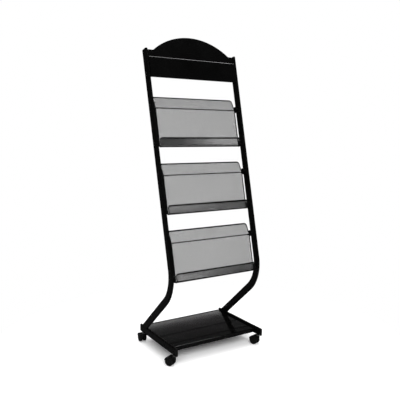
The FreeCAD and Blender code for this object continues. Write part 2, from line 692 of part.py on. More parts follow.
def housing():
    """Hood over both wheels, web between them and the boss for the stem."""
    centre = Vector(0, TRAIL, WHEEL_RADIUS)
    hood_inner = WHEEL_RADIUS + HOOD_GAP
    hood_outer = hood_inner + HOOD_WALL
    sweep = HOOD_FRONT_ANGLE - HOOD_REAR_ANGLE
    start = Rotation(X_AXIS, HOOD_REAR_ANGLE)
    section = [
        (-WHEEL_OUTER, hood_inner), (WHEEL_OUTER, hood_inner),
        (WHEEL_OUTER, hood_outer), (-WHEEL_OUTER, hood_outer),
    ]
    hood = face_of([centre + start.multVec(Vector(x, radius, 0)) for x, radius in section])
    hood = hood.revolve(centre, X_AXIS, sweep)

    half_web = CASTER_WEB / 2
    disc = Part.makeCylinder(WEB_DISC / 2, CASTER_WEB, Vector(-half_web, TRAIL, WHEEL_RADIUS), X_AXIS)
    boss_radius = BOSS_DIAMETER / 2
    rib = face_of([
        Vector(-half_web, TRAIL, WHEEL_RADIUS), Vector(-half_web, 0, WHEEL_RADIUS + RIB_RISE),
        Vector(-half_web, 0, boss_top()), Vector(-half_web, boss_radius, boss_top()),
        Vector(-half_web, TRAIL + WEB_DISC / 2, WHEEL_DIAMETER - HOOD_GAP),
        Vector(-half_web, TRAIL + WEB_DISC / 2, WHEEL_RADIUS),
    ]).extrude(X_AXIS * CASTER_WEB)
    boss_low = WHEEL_RADIUS + BORE_FLOOR - HOOD_WALL
    boss = Part.makeCylinder(boss_radius, boss_top() - boss_low, Vector(0, 0, boss_low))

    body = disc.fuse([rib, boss])
    room = Part.makeCylinder(hood_inner, WHEEL_OUTER, Vector(half_web, TRAIL, WHEEL_RADIUS), X_AXIS)
    body = body.cut([room, mirrored(room)])
    body = body.fuse(hood).removeSplitter()
    bore_low = Vector(0, 0, WHEEL_RADIUS + BORE_FLOOR)
    stem_bore = Part.makeCylinder(STEM_DIAMETER / 2 + SHAFT_GAP, boss_top() - bore_low.z, bore_low)
    axle_bore = Part.makeCylinder(
        AXLE_DIAMETER / 2 + SHAFT_GAP, CASTER_WEB, Vector(-half_web, TRAIL, WHEEL_RADIUS), X_AXIS)
    return body.cut(stem_bore).cut(axle_bore)


def stem():
    """Stem in the boss below, collar under the rail, stem in the socket above."""
    radius = STEM_DIAMETER / 2
    low = WHEEL_RADIUS + BORE_FLOOR + RUN_GAP
    pin = Part.makeCylinder(radius, CASTER_HEIGHT + STEM_IN_RAIL - low, Vector(0, 0, low))
    collar_low = Vector(0, 0, CASTER_HEIGHT - COLLAR_HEIGHT)
    collar = Part.makeCylinder(STEM_COLLAR / 2, COLLAR_HEIGHT - SEAT_GAP, collar_low)
    return pin.fuse(collar)


def caster_place(corner):
    row, side = corner.split("_")
    x = HALF_SPACING if side == "right" else -HALF_SPACING
    return Placement(Vector(x, stem_places()[row], 0), Rotation(Z_AXIS, REST_TURNS[corner]))


def placed(shape, place):
    result = shape.copy()
    result.Placement = place.multiply(result.Placement)
    return result


def casters():
    nodes = {"caster_stems": []}
    wheels = [wheel(), mirrored(wheel())]
    for corner in REST_TURNS:
        place = caster_place(corner)
        nodes["caster_stems"].append(placed(stem(), place))
        nodes[f"caster_{corner}_housing"] = [placed(housing(), place)]
        nodes[f"caster_{corner}_axle"] = [placed(axle(), place)]
        nodes[f"caster_{corner}_wheels"] = [placed(piece, place) for piece in wheels]
    return nodes


# ---------------------------------------------------------------- the whole rack

def rack():
    bolt_places = header_bolt_places()
    for index in range(POCKET_COUNT):
        bolt_places += pocket_bolt_places(index)
    left_post, right_post = both_sides(drilled_post(bolt_places))
    left_rail, right_rail = both_sides(rail())
    tray_bolts, tray_nuts = bolts_and_nuts(tray_bolt_places(), TRAY_SHEET, FIT_GAP)
    header_places = [(side, -forward, up) for side in SIDES for forward, up in header_bolt_places()]
    header_bolts, header_nuts = bolts_and_nuts(header_places, HEADER_SHEET, FIT_GAP)
    nodes = {
        "left_post": [left_post],
        "right_post": [right_post],
        "post_caps": post_caps(),
        "left_rail": [left_rail],
        "right_rail": [right_rail],
        "rail_caps": rail_caps(),
        "caster_sockets": caster_sockets(),
        "bottom_tray": [tray()],
        "tray_bolts": tray_bolts,
        "tray_nuts": tray_nuts,
        "header_panel": [header_panel()],
        "header_board": [header_board()],
        "header_bolts": [leaned(piece) for piece in header_bolts],
        "header_nuts": [leaned(piece) for piece in header_nuts],
    }
    for index in range(POCKET_COUNT):
        for piece, solids in pocket(index).items():
            nodes[f"{pocket_name(index)}_pocket_{piece}"] = solids
    nodes.update(casters())
    return nodes


def middle_of(nodes):
    """Middle of the whole rack from front to back."""
    box = Part.makeCompound([solid for solids in nodes.values() for solid in solids])
    box = box.optimalBoundingBox(False)
    return (box.YMin + box.YMax) / 2


def main():
    nodes = rack()
    to_middle = Y_AXIS * -middle_of(nodes)
    os.makedirs("parts", exist_ok=True)
    for name, solids in nodes.items():
        for solid in solids:
            solid.translate(to_middle)
        shape = Part.makeCompound(solids) if len(solids) > 1 else solids[0]
        shape.exportStep(f"parts/{name}.step")
    return nodes, to_middle


NODES, TO_MIDDLE = main()
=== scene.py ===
import json
import math

import bmesh
import bpy
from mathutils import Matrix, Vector


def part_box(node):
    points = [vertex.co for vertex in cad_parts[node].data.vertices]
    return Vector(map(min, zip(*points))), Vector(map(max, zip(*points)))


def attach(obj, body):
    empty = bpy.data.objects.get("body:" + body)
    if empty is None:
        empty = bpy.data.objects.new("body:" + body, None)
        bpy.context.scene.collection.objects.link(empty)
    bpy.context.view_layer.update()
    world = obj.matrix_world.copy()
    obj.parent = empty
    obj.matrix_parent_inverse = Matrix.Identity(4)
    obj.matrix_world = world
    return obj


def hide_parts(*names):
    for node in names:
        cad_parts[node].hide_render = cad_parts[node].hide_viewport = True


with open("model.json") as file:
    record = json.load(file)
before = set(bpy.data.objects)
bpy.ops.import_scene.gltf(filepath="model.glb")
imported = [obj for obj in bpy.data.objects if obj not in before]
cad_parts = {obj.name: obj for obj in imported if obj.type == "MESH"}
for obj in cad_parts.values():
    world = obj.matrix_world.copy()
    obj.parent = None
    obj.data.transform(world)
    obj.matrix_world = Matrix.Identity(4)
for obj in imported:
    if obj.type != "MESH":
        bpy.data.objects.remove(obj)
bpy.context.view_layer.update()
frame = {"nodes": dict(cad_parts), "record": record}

# Rolling magazine rack in black powder coat. Metres; +Z is up, -Y is the front, X is across.
# Along the leaning posts, "forward" is square to their centre line and "up" runs along it.

RACK = "rack_frame"
POCKETS = ("bottom_pocket", "middle_pocket", "top_pocket")
BOLT_NODES = (
    "bottom_pocket_bolts", "middle_pocket_bolts", "top_pocket_bolts", "header_bolts", "tray_bolts",
)
SHARP_TURN = math.radians(35)   # edges of smooth pieces that turn further stay sharp

# View
LENS = 45.613
SENSOR_WIDTH = 36.0
VIEW_TURN = 31.32               # degrees to the right of straight ahead
VIEW_DROP = 9.991               # degrees below level
VIEW_PLACE = (-1.24364, -2.05024, 0.99807)
VIEW_RISE = 0.0725              # lens shift, as a share of the frame

# Floor and room
FLOOR_HALF_SIZE = 9.0
FLOOR_TONE = 0.8
FLOOR_SEEN = 1.12               # keeps the open floor white and the shadow soft
FLOOR_MIRRORED = 0.05           # a dim room is what the coated tubes mirror
FLOOR_FADE = (0.75, 1.05)       # distances over which the floor turns into the background
EVEN_LIGHT = 0.55
ROOM_MIRRORED = 0.02

# Board low behind the tray: white below, then grey that darkens upwards and ends
REAR_BOARD_X = (0.1, 1.4)
REAR_BOARD_Y = 1.3
REAR_BOARD_Z = (0.54, 1.1)
WHITE_GLOW = 1.9
WHITE_FADE = (0.550, 0.572)     # heights over which the white ends
GREY_GLOW = (0.1, 0.035)        # where the white ends, and where the grey starts to end
GREY_FADE = (0.82, 0.9)         # heights over which the grey ends
GREY_LEFT = 0.05                # share of the grey that stays above

# Board high up, which the header's fold mirrors
HIGH_BOARD_X = (0.7, 1.7)
HIGH_BOARD_Y = (-0.1, 1.3)
HIGH_BOARD_Z = 2.9
HIGH_BOARD_GLOW = 8.0

# Finishes: rubbed and dusty places, plating, flow marks in the plastic
RUBBED_PAINT = (0.035, 0.035, 0.037)
RUBBED_PLASTIC = (0.04, 0.04, 0.042)
DUST = (0.11, 0.105, 0.10)
PLATING = ((0.46, 0.46, 0.47), (0.62, 0.61, 0.58))
FLOW_MARK_TONE = 1.35           # times the plastic's own tone
FLOW_MARK_ROUGHNESS = 0.08      # added to the plastic's own roughness

# Wires of the pockets
FRAME_RADIUS = 0.002
CROSSBAR_RADIUS = 0.0025
ROD_RADIUS = 0.003
LIP_RADIUS = 0.00225
WIRE_GAP = 0.0001               # between a wire and the mesh

# Sheet of a pocket's mesh; heights are along the posts' lean
SHEET = 0.0006                  # thickness
MESH_HALF_WIDTH = 0.2156
MESH_CORNER = 0.012
POST_LEAN = math.radians(13.1)
FLAP_LEAN = math.radians(18.0)
FLAP_BEND = 0.025               # on the centre line of the frame wire
FLAP_HEIGHT = 0.0555            # above the crossbar
BACK_HEIGHT = 0.1736            # from the bottom rod to the crossbar
LIP_HEIGHT = 0.0374             # from the bottom rod to the lip wire
POCKET_DEPTH = 0.0195           # from the frame wire to the lip wire
HOOK_RADIUS = 0.0047            # of the mesh's two bends at the bottom
BEND_STEP = math.radians(22)    # largest turn from one corner to the next in a bend

# Strands and plain edge of the mesh
STRAND_WIDTH = 0.00096
STRAND_HEIGHT = 0.00050
STRAND_PITCH = 0.0029           # between neighbouring strands, square to them
STRAND_ANGLE = math.radians(35) # of the strands, from across
LAYER_SHIFT = 0.00014           # the two layers of strands, either side of the middle
SPAN_STEPS = 400                # steps by which a strand is tried against the sheet's outline
PLAIN_EDGE = 0.0050             # width of the sheet's edge without openings
PLAIN_EDGE_HALF_HEIGHT = 0.000395
CORNER_STEPS = 6

# Bolts
BOLT_SIDES = 24
BOLT_REACH = 0.02               # what lies closer than this belongs to the same bolt
HEAD_HEIGHT = 0.0026
HEAD_ROUND = 0.0016
HEAD_ROUND_STEPS = 4
SHANK_RADIUS = 0.0025
TIP_CHAMFER = 0.0004
SOCKET_HALF_FLATS = 0.0015
SOCKET_DEPTH = 0.0014
SOCKET_CHAMFER = 0.0001

# Welds
TUBE_HALF_WIDTH = 0.0065
TUBE_DEPTH = 0.038
FOOT_SLOPE = math.radians(49.4)
FOOT_INSET = 0.0462             # from the rear end of the rail to the middle of the foot
FOOT_WELD = 0.0013              # radius of the bead
FOOT_WELD_WRAP = 120            # degrees round each end of the foot's oval
FOOT_ROUND_STEPS = 40
FOOT_FLAT_STEPS = 60
WIRE_WELD = 0.0011
BAR_WELD_STEPS = 8
ROD_WELD_ARC = (190, 350)       # degrees round the rod, from its rear over its top
ROD_WELD_STEPS = 16
WELD_SIDES = 8
WELD_END = 0.15                 # share of the bead's section that is left at its ends
RIPPLE = 0.0018                 # length of one ripple
RIPPLE_HEIGHT = 0.09            # share of the bead's radius


# ---------------------------------------------------------------- node helpers

class Nodes:
    """A node tree with short calls to add nodes and links."""

    def __init__(self, tree):
        self.tree = tree

    def add(self, kind, **values):
        node = self.tree.nodes.new(kind)
        for name, value in values.items():
            setattr(node, name, value)
        return node

    def link(self, source, target):
        self.tree.links.new(source, target)

    def set(self, socket, value):
        """Give a socket a number, or link another socket to it."""
        if isinstance(value, (int, float)):
            socket.default_value = value
        else:
            self.link(value, socket)

    def math(self, operation, first, second, clamp=False):
        node = self.add("ShaderNodeMath", operation=operation, use_clamp=clamp)
        self.set(node.inputs[0], first)
        self.set(node.inputs[1], second)
        return node.outputs[0]

    def remap(self, value, low, high, new_low, new_high):
        node = self.add("ShaderNodeMapRange", clamp=True)
        self.link(value, node.inputs["Value"])
        ends = {"From Min": low, "From Max": high, "To Min": new_low, "To Max": new_high}
        for name, number in ends.items():
            node.inputs[name].default_value = number
        return node.outputs["Result"]

    def object_place(self):
        return self.add("ShaderNodeTexCoord").outputs["Object"]

    def noise(self, place, scale, detail):
        node = self.add("ShaderNodeTexNoise")
        self.link(place, node.inputs["Vector"])
        self.set(node.inputs["Scale"], scale)
        node.inputs["Detail"].default_value = detail
        return node.outputs["Fac"]

    def mix_colour(self, factor, first, second):
        """Mix from the first colour, which may be a socket, to the second."""
        node = self.add("ShaderNodeMix", data_type="RGBA")
        self.link(factor, node.inputs["Factor"])
        if isinstance(first, tuple):
            node.inputs["A"].default_value = (*first, 1.0)
        else:
            self.link(first, node.inputs["A"])
        node.inputs["B"].default_value = (*second, 1.0)
        return node.outputs["Result"]

    def use_group(self, tree, **inputs):
        node = self.add("ShaderNodeGroup", node_tree=tree)
        for label, value in inputs.items():
            node.inputs[label.replace("_", " ")].default_value = value
        return node.outputs

    def bump(self, shader, height, distance):
        node = self.add("ShaderNodeBump")
        node.inputs["Strength"].default_value = 1.0
        node.inputs["Distance"].default_value = distance
        self.link(height, node.inputs["Height"])
        self.link(node.outputs["Normal"], shader.inputs["Normal"])

    def mix_shaders(self, factor, first, second):
        node = self.add("ShaderNodeMixShader")
        for socket, source in zip(node.inputs, (factor, first, second)):
            self.link(source, socket)
        return node.outputs[0]


def new_group(name, inputs, outputs):
    """An empty shader node group: float inputs {name: default}, outputs {name: socket type}."""
    tree = bpy.data.node_groups.new(name, "ShaderNodeTree")
    for label, default in inputs.items():
        socket = tree.interface.new_socket(label, in_out="INPUT", socket_type="NodeSocketFloat")
        socket.default_value = default
    for label, kind in outputs.items():
        tree.interface.new_socket(label, in_out="OUTPUT", socket_type=kind)
    nodes = Nodes(tree)
    return tree, nodes, nodes.add("NodeGroupInput"), nodes.add("NodeGroupOutput")


def build_coat_group():
    """Powder coat: fine orange peel, and broad patches where it came out smoother or duller."""
    tree, nodes, group_in, group_out = new_group(
        "powder_coat", {"Peel Scale": 900.0, "Patch Scale": 9.0},
        {"Peel": "NodeSocketFloat", "Patches": "NodeSocketFloat"})
    place = nodes.object_place()
    fine = nodes.noise(place, group_in.outputs["Peel Scale"], 3.0)
    broad = nodes.noise(place, group_in.outputs["Patch Scale"], 4.0)
    nodes.link(fine, group_out.inputs["Peel"])
    nodes.link(nodes.remap(broad, 0.3, 0.7, 0.0, 1.0), group_out.inputs["Patches"])
    return tree


def build_edge_group():
    """Mask of the outer edges, where handling has polished the finish, broken up by noise."""
    tree, nodes, group_in, group_out = new_group(
        "rubbed_edges", {"Radius": 0.0008, "Strength": 1.0}, {"Mask": "NodeSocketFloat"})
    bevel = nodes.add("ShaderNodeBevel", samples=4)
    nodes.link(group_in.outputs["Radius"], bevel.inputs["Radius"])
    normal = nodes.add("ShaderNodeNewGeometry").outputs["Normal"]
    dot = nodes.add("ShaderNodeVectorMath", operation="DOT_PRODUCT")
    nodes.link(bevel.outputs["Normal"], dot.inputs[0])
    nodes.link(normal, dot.inputs[1])
    turned = nodes.remap(dot.outputs["Value"], 0.72, 0.995, 1.0, 0.0)
    blotches = nodes.noise(nodes.object_place(), 140.0, 3.0)
    worn = nodes.math("MULTIPLY", turned, nodes.remap(blotches, 0.42, 0.62, 0.25, 1.0))
    mask = nodes.math("MULTIPLY", worn, group_in.outputs["Strength"], clamp=True)
    nodes.link(mask, group_out.inputs["Mask"])
    return tree


def build_dust_group():
    """Mask of the thin dust that settles on faces that look up."""
    tree, nodes, group_in, group_out = new_group(
        "settled_dust", {"Amount": 1.0, "Fleck Scale": 260.0}, {"Mask": "NodeSocketFloat"})
    place = nodes.object_place()
    apart = nodes.add("ShaderNodeSeparateXYZ")
    nodes.link(nodes.add("ShaderNodeNewGeometry").outputs["Normal"], apart.inputs[0])
    upward = nodes.remap(apart.outputs["Z"], 0.35, 0.95, 0.0, 1.0)
    flecks = nodes.remap(nodes.noise(place, group_in.outputs["Fleck Scale"], 4.0), 0.50, 0.72, 0.0, 1.0)
    clouds = nodes.remap(nodes.noise(place, 12.0, 3.0), 0.35, 0.7, 0.15, 1.0)
    mask = nodes.math("MULTIPLY", nodes.math("MULTIPLY", upward, flecks), clouds)
    mask = nodes.math("MULTIPLY", mask, group_in.outputs["Amount"], clamp=True)
    nodes.link(mask, group_out.inputs["Mask"])
    return tree


def build_moulding_group():
    """Moulded plastic: spark-eroded grain and slight flow marks."""
    tree, nodes, group_in, group_out = new_group(
        "moulded_grain", {"Grain Scale": 2400.0},
        {"Grain": "NodeSocketFloat", "Flow": "NodeSocketFloat"})
    place = nodes.object_place()
    cells = nodes.add("ShaderNodeTexVoronoi", feature="F1")
    nodes.link(place, cells.inputs["Vector"])
    nodes.link(group_in.outputs["Grain Scale"], cells.inputs["Scale"])
    nodes.link(cells.outputs["Distance"], group_out.inputs["Grain"])
    flow = nodes.remap(nodes.noise(place, 60.0, 3.0), 0.3, 0.7, 0.0, 1.0)
    nodes.link(flow, group_out.inputs["Flow"])
    return tree


COAT_GROUP = build_coat_group()
EDGE_GROUP = build_edge_group()
DUST_GROUP = build_dust_group()
MOULDING_GROUP = build_moulding_group()


# ---------------------------------------------------------------- materials

def new_material(name):
    material = bpy.data.materials.new(name)
    material.use_nodes = True
    nodes = Nodes(material.node_tree)
    return material, nodes, material.node_tree.nodes["Principled BSDF"]


def bare_material(name):
    """Make a material whose shader is taken out; give it, its nodes and its surface socket."""
    material, nodes, shader = new_material(name)
    material.node_tree.nodes.remove(shader)
    out = next(node for node in material.node_tree.nodes if node.type == "OUTPUT_MATERIAL")
    return material, nodes, out.inputs["Surface"]


def coated(name, tones, rough, peel_scale, peel_depth, specular, edge, dust):
    """Black powder coat; the second tone and roughness belong to its duller patches."""
    material, nodes, shader = new_material(name)
    coat = nodes.use_group(COAT_GROUP, Peel_Scale=peel_scale)
    edges = nodes.use_group(EDGE_GROUP, Strength=edge)
    settled = nodes.use_group(DUST_GROUP, Amount=dust)
    base = nodes.mix_colour(coat["Patches"], (tones[0],) * 3, (tones[1],) * 3)
    rubbed = nodes.mix_colour(edges["Mask"], base, RUBBED_PAINT)
    dusty = nodes.mix_colour(settled["Mask"], rubbed, DUST)
    nodes.link(dusty, shader.inputs["Base Color"])
    nodes.link(nodes.remap(coat["Patches"], 0.0, 1.0, *rough), shader.inputs["Roughness"])
    shader.inputs["Specular IOR Level"].default_value = specular
    nodes.bump(shader, coat["Peel"], peel_depth)
    return material


def moulded(name, tone, rough, grain_scale, grain_depth, specular):
    """Black moulded plastic."""
    material, nodes, shader = new_material(name)
    grain = nodes.use_group(MOULDING_GROUP, Grain_Scale=grain_scale)
    edges = nodes.use_group(EDGE_GROUP, Radius=0.0006, Strength=0.6)
    settled = nodes.use_group(DUST_GROUP, Amount=0.08)
    base = nodes.mix_colour(grain["Flow"], (tone,) * 3, (tone * FLOW_MARK_TONE,) * 3)
    rubbed = nodes.mix_colour(edges["Mask"], base, RUBBED_PLASTIC)
    dusty = nodes.mix_colour(settled["Mask"], rubbed, DUST)
    nodes.link(dusty, shader.inputs["Base Color"])
    roughness = nodes.remap(grain["Flow"], 0.0, 1.0, rough, rough + FLOW_MARK_ROUGHNESS)
    nodes.link(roughness, shader.inputs["Roughness"])
    shader.inputs["Specular IOR Level"].default_value = specular
    nodes.bump(shader, grain["Grain"], grain_depth)
    return material


def plated(name):
    """Zinc-plated steel with fine turning marks."""
    material, nodes, shader = new_material(name)
    place = nodes.object_place()
    stretched = nodes.add("ShaderNodeMapping")
    stretched.inputs["Scale"].default_value = (1.0, 1.0, 40.0)
    nodes.link(place, stretched.inputs["Vector"])
    marks = nodes.noise(stretched.outputs["Vector"], 90.0, 4.0)
    clouds = nodes.noise(place, 220.0, 3.0)
    nodes.link(nodes.mix_colour(clouds, *PLATING), shader.inputs["Base Color"])
    nodes.link(nodes.remap(marks, 0.3, 0.7, 0.28, 0.46), shader.inputs["Roughness"])
    shader.inputs["Metallic"].default_value = 1.0
    nodes.bump(shader, marks, 0.00002)
    return material


# Tones, roughness, scale and depth of the orange peel, specular level, rubbed edges, dust
COATS = {
    "frame_paint": ((0.0012, 0.0020), (0.24, 0.32), 950.0, 0.00003, 0.30, 0.3, 0.08),
    "header_paint": ((0.0007, 0.0012), (0.18, 0.24), 950.0, 0.00002, 0.60, 0.2, 0.04),
    "tray_paint": ((0.0012, 0.0018), (0.08, 0.11), 700.0, 0.00001, 0.5, 0.0, 0.02),
    "mesh_paint": ((0.0030, 0.0045), (0.30, 0.40), 1500.0, 0.00002, 0.30, 0.0, 0.05),
    "wire_paint": ((0.0022, 0.0034), (0.24, 0.32), 1200.0, 0.00002, 0.30, 0.2, 0.06),
    "black_fasteners": ((0.006, 0.010), (0.16, 0.24), 1800.0, 0.00001, 0.5, 0.6, 0.05),
}
# Tone, roughness, scale and depth of the grain, specular level
MOULDINGS = {
    "cap_plastic": (0.0030, 0.34, 2600.0, 0.00003, 0.35),
    "caster_plastic": (0.0030, 0.26, 3000.0, 0.00002, 0.40),
    "wheel_plastic": (0.0040, 0.36, 2200.0, 0.00003, 0.40),
}
MATERIALS = {
    **{name: coated(name, *values) for name, values in COATS.items()},
    **{name: moulded(name, *values) for name, values in MOULDINGS.items()},
    "plated_steel": plated("plated_steel"),
}


def paint_nodes():
    """Give every CAD node the finish of its slot."""
    slots = {part["node"]: part["material_slot"] for part in frame["record"]["subparts"]}
    for name, node in frame["nodes"].items():
        material = MATERIALS[slots[name]]
        if not node.material_slots:
            node.data.materials.append(material)
        for place in node.material_slots:
            place.material = material


# ---------------------------------------------------------------- mesh helpers

def node_middle(name):
    low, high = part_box(name)
    return (Vector(low) + Vector(high)) / 2


def lean(point):
    """Turn a point made upright into the lean of the posts."""
    cos, sin = math.cos(POST_LEAN), math.sin(POST_LEAN)
    return Vector((point.x, point.y * cos + point.z * sin, -point.y * sin + point.z * cos))


def join_loops(mesh, loops, closed=False):
    """Skin over neighbouring loops, then on to the first loop, or close both ends."""
    count = len(loops[0])
    for near, far in zip(loops, loops[1:] + (loops[:1] if closed else [])):
        for k in range(count):
            mesh.faces.new((near[k], near[(k + 1) % count], far[(k + 1) % count], far[k]))
    if not closed:
        mesh.faces.new(loops[0][::-1])
        mesh.faces.new(loops[-1])


def finish_piece(mesh, name, slot, smooth=False):
    """Turn a bmesh into an object on the rack's frame with its finish."""
    bmesh.ops.recalc_face_normals(mesh, faces=mesh.faces)
    data = bpy.data.meshes.new(name)
    mesh.to_mesh(data)
    mesh.free()
    if smooth:
        data.shade_smooth()
        data.set_sharp_from_angle(angle=SHARP_TURN)
    piece = bpy.data.objects.new(name, data)
    bpy.context.scene.collection.objects.link(piece)
    data.materials.append(MATERIALS[slot])
    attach(piece, RACK)
    return piece


# ---------------------------------------------------------------- diamond mesh of the pockets

class StraightRun:
    """Straight part of a sheet's side view."""

    def __init__(self, start, end):
        self.start = start
        self.way = (end - start).normalized()
        self.length = (end - start).length

    def breaks(self):
        return []

    def at(self, walked):
        return self.start + self.way * walked, self.way


class ArcRun:
    """Bend of a sheet's side view; its turn is positive to the left."""

    def __init__(self, start, centre, end):
        self.centre = centre
        self.spoke = start - centre
        self.turn = math.copysign(self.spoke.angle(end - centre), self.spoke.cross(end - centre))
        self.length = abs(self.turn) * self.spoke.length

    def breaks(self):
        steps = max(2, math.ceil(abs(self.turn) / BEND_STEP))
        return [self.length * step / steps for step in range(steps + 1)]

    def at(self, walked):
        turn = self.turn * walked / self.length
        cos, sin = math.cos(turn), math.sin(turn)
        x, y = self.spoke
        spoke = Vector((x * cos - y * sin, x * sin + y * cos))
        way = Vector((-spoke.y, spoke.x)) * math.copysign(1.0, self.turn)
        return self.centre + spoke, way.normalized()


class SheetLine:
    """Side view of a pocket's mesh as runs and bends, walked by its length from the top edge."""

    def __init__(self, corners, radii):
        self.runs = []
        start = corners[0]
        for before, corner, after, radius in zip(corners, corners[1:], corners[2:], radii):
            to_before, to_after = (before - corner).normalized(), (after - corner).normalized()
            half = to_before.angle(to_after) / 2
            reach = radius / math.tan(half)
            centre = corner + (to_before + to_after).normalized() * (radius / math.sin(half))
            self.runs.append(StraightRun(start, corner + to_before * reach))
            self.runs.append(ArcRun(corner + to_before * reach, centre, corner + to_after * reach))
            start = corner + to_after * reach
        self.runs.append(StraightRun(start, corners[-1]))
        self.length = sum(run.length for run in self.runs)

    def breaks(self, low, high):
        """Lengths between two others at which a strand must have a corner to follow the line."""
        marks, walked = [], 0.0
        for run in self.runs:
            marks += [walked + mark for mark in run.breaks()]
            walked += run.length
        return [mark for mark in marks if low < mark < high]

    def at(self, walked):
        """Place and direction, both as (forward, up), at a length from the top edge."""
        for run in self.runs:
            if walked <= run.length or run is self.runs[-1]:
                return run.at(walked)
            walked -= run.length


def mesh_line():
    """Side view of the mesh, from the crossbar's centre: flap, back, bottom and lip."""
    half_sheet = SHEET / 2
    from_frame = FRAME_RADIUS + WIRE_GAP + half_sheet
    back = -CROSSBAR_RADIUS - WIRE_GAP - half_sheet
    bend = from_frame * math.tan(FLAP_LEAN / 2)
    flap = back - (FLAP_HEIGHT - bend) * math.tan(FLAP_LEAN)
    floor = -BACK_HEIGHT + ROD_RADIUS + WIRE_GAP + half_sheet
    lip = back - from_frame + POCKET_DEPTH - LIP_RADIUS - WIRE_GAP - half_sheet
    corners = [
        Vector((flap, FLAP_HEIGHT)), Vector((back, bend)), Vector((back, floor)),
        Vector((lip, floor)), Vector((lip, LIP_HEIGHT - BACK_HEIGHT)),
    ]
    return SheetLine(corners, [FLAP_BEND + from_frame, HOOK_RADIUS, HOOK_RADIUS])


def edge_half_width(walked, length):
    """Half width of the flat sheet at a length from its top edge, with its round corners."""
    inside = min(walked, length - walked)
    if inside >= MESH_CORNER:
        return MESH_HALF_WIDTH
    drop = MESH_CORNER - max(inside, 0.0)
    return MESH_HALF_WIDTH - MESH_CORNER + math.sqrt(max(MESH_CORNER**2 - drop**2, 0.0))


def strand_span(offset, slope, length):
    """First and last length at which a slanting strand lies inside the sheet, or None."""
    inside = []
    for step in range(SPAN_STEPS + 1):
        walked = length * step / SPAN_STEPS
        if abs(offset + slope * walked) <= edge_half_width(walked, length):
            inside.append(walked)
    if len(inside) < 2:
        return None
    return inside[0], inside[-1]


def add_strand(mesh, line, origin, offset, slope, layer):
    """One strand: a flat bar that runs slanting over the sheet and follows its bends."""
    span = strand_span(offset, slope, line.length)
    if span is None:
        return
    first, last = span
    rings = []
    for walked in [first] + line.breaks(first, last) + [last]:
        place, way = line.at(walked)
        down = Vector((0, -way.x, way.y))
        side = (Vector((1, 0, 0)) - down * slope).normalized() * (STRAND_WIDTH / 2)
        normal = Vector((0, -way.y, -way.x))
        centre = Vector((offset + slope * walked, -place.x, place.y)) + normal * layer
        thick = normal * (STRAND_HEIGHT / 2)
        corners = [
            centre - side - thick, centre + side - thick, centre + side + thick, centre - side + thick,
        ]
        rings.append([mesh.verts.new(lean(corner) + origin) for corner in corners])
    join_loops(mesh, rings)


def plain_edge_outline(line):
    """Outer and inner points of the sheet's plain edge, as (across, length from the top)."""
    radius = MESH_CORNER
    far_x, far_y = MESH_HALF_WIDTH - radius, line.length - radius
    bends = line.breaks(radius, far_y)
    corners = [
        (far_x, radius, MESH_HALF_WIDTH, bends), (far_x, far_y, 0, []),
        (-far_x, far_y, -MESH_HALF_WIDTH, bends[::-1]), (-far_x, radius, 0, []),
    ]
    pairs = []
    for index, (x, y, side, marks) in enumerate(corners):
        for step in range(CORNER_STEPS + 1):
            turn = math.radians(90 * (index - 1) + 90 * step / CORNER_STEPS)
            spoke = Vector((math.cos(turn), math.sin(turn)))
            centre = Vector((x, y))
            pairs.append((centre + spoke * radius, centre + spoke * (radius - PLAIN_EDGE)))
        inner = side - math.copysign(PLAIN_EDGE, side)
        pairs += [(Vector((side, mark)), Vector((inner, mark))) for mark in marks]
    return pairs


def add_plain_edge(mesh, line, origin):
    """The sheet's edge without openings, all the way round."""
    rings = []
    for outer, inner in plain_edge_outline(line):
        ring = []
        for point, heights in ((outer, (-1, 1)), (inner, (1, -1))):
            place, way = line.at(point.y)
            normal = Vector((0, -way.y, -way.x))
            for height in heights:
                above = normal * height * PLAIN_EDGE_HALF_HEIGHT
                corner = Vector((point.x, -place.x, place.y)) + above
                ring.append(mesh.verts.new(lean(corner) + origin))
        rings.append(ring)
    join_loops(mesh, rings, closed=True)


def build_pocket_mesh(pocket):
    """The diamond mesh of one pocket, from two crossing layers of slanting strands."""
    line = mesh_line()
    origin = node_middle(f"{pocket}_crossbar")
    origin.x = 0
    mesh = bmesh.new()
    slope = 1 / math.tan(STRAND_ANGLE)
    step = STRAND_PITCH / math.sin(STRAND_ANGLE)
    count = math.ceil((MESH_HALF_WIDTH + slope * line.length) / step)
    for way, layer in ((1, LAYER_SHIFT), (-1, -LAYER_SHIFT)):
        for k in range(-count, count + 1):
            add_strand(mesh, line, origin, k * step, way * slope, layer)
    add_plain_edge(mesh, line, origin)
    piece = finish_piece(mesh, f"{pocket}_diamond_mesh", "mesh_paint")
    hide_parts(f"{pocket}_mesh")


# ---------------------------------------------------------------- bolts

def bolt_places(node):
    """Side, y, z, outermost x, innermost x and head radius of each bolt in a CAD node."""
    groups = []
    for vertex in frame["nodes"][node].data.vertices:
        point = frame["nodes"][node].matrix_world @ vertex.co
        near = [
            group for group in groups
            if group[0].x * point.x > 0 and (group[0].yz - point.yz).length < BOLT_REACH
        ]
        if near:
            near[0].append(point)
        else:
            groups.append([point])
    places = []
    for group in groups:
        low = [min(point[axis] for point in group) for axis in range(3)]
        high = [max(point[axis] for point in group) for axis in range(3)]
        side = math.copysign(1, group[0].x)
        outer, inner = (high[0], low[0]) if side > 0 else (-low[0], -high[0])
        middle_y, middle_z = (low[1] + high[1]) / 2, (low[2] + high[2]) / 2
        places.append((side, middle_y, middle_z, outer, inner, (high[1] - low[1]) / 2))
    return places


def hexagon_reach(half_flats, angle):
    return half_flats / math.cos(angle % math.radians(60) - math.radians(30))


